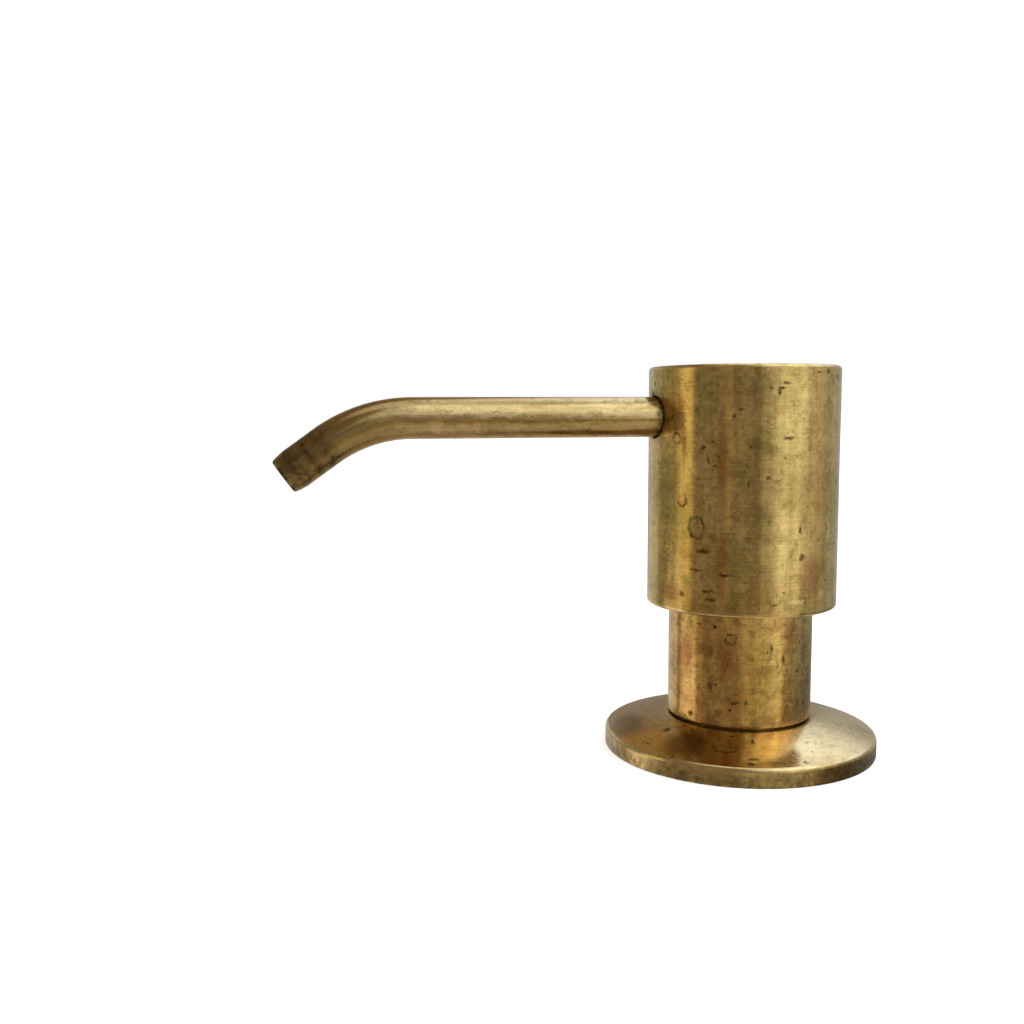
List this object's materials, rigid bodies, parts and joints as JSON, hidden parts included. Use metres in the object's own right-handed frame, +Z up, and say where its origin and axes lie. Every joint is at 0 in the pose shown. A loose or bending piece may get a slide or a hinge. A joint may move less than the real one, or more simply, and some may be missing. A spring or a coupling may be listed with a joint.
{
  "type": "deck-mounted soap pump dispenser",
  "caption": "Deck-mounted soap pump dispenser: aged brass press head with a bent spout over a guide collar and round flange, with a lift-out pump and an under-deck bottle.",
  "frame": {"origin": "on the pump axis at the top surface of the deck, which is the flange's underside", "axes": "+Z up along the pump axis, -X along the spout, +Y completes the right-handed frame"},
  "size_m": [0.1239, 0.06, 0.248],
  "materials": {
    "aged_brass": "unlacquered brass, finely brushed, with natural patina",
    "raw_brass": "turned, unpolished",
    "stainless": "bright drawn and stamped",
    "rubber": "matt black",
    "pump_plastic": "moulded polypropylene",
    "bottle_plastic": "blow-moulded translucent polyethylene",
    "nylon": "machined nylon"
  },
  "bodies": {
    "fixed_body": {"flange": "aged_brass", "deck_gasket": "rubber", "collar": "aged_brass", "shank": "raw_brass", "rubber_washer": "rubber", "metal_washer": "stainless", "lock_nut": "raw_brass", "bottle_seal": "rubber", "bottle": "bottle_plastic"},
    "cartridge": {"pump_gasket": "rubber", "pump_cylinder": "pump_plastic", "pump_cap": "pump_plastic", "spring_seat": "pump_plastic", "return_spring": "stainless", "dip_tube": "bottle_plastic"},
    "inlet_valve": {"inlet_ball": "stainless"},
    "plunger": {"stem": "pump_plastic", "piston": "pump_plastic", "piston_seal": "rubber"},
    "outlet_valve": {"outlet_ball": "stainless"},
    "head": {"head_shell": "aged_brass", "spout": "aged_brass", "outlet_block": "nylon", "stem_o_ring": "rubber", "spout_o_ring": "rubber", "guide_sleeve": "nylon"}
  },
  "joints": [
    {"name": "refill_lift", "type": "slide", "parent": "fixed_body", "child": "cartridge", "axis": [0, 0, 1], "range_m": [0, 0.21]},
    {"name": "inlet_ball_lift", "type": "slide", "parent": "cartridge", "child": "inlet_valve", "axis": [0, 0, 1], "range_m": [0, 0.0012]},
    {"name": "head_press", "type": "slide", "parent": "cartridge", "child": "plunger", "axis": [0, 0, -1], "range_m": [0, 0.014], "stiffness_N_per_m": 600, "springref_m": -0.01, "deforming": ["return_spring"]},
    {"name": "outlet_ball_lift", "type": "slide", "parent": "plunger", "child": "outlet_valve", "axis": [0, 0, 1], "range_m": [0, 0.002]},
    {"name": "head_swivel", "type": "hinge", "parent": "plunger", "child": "head", "pos_m": [0, 0, 0.06], "axis": [0, 0, 1], "continuous": true}
  ]
}
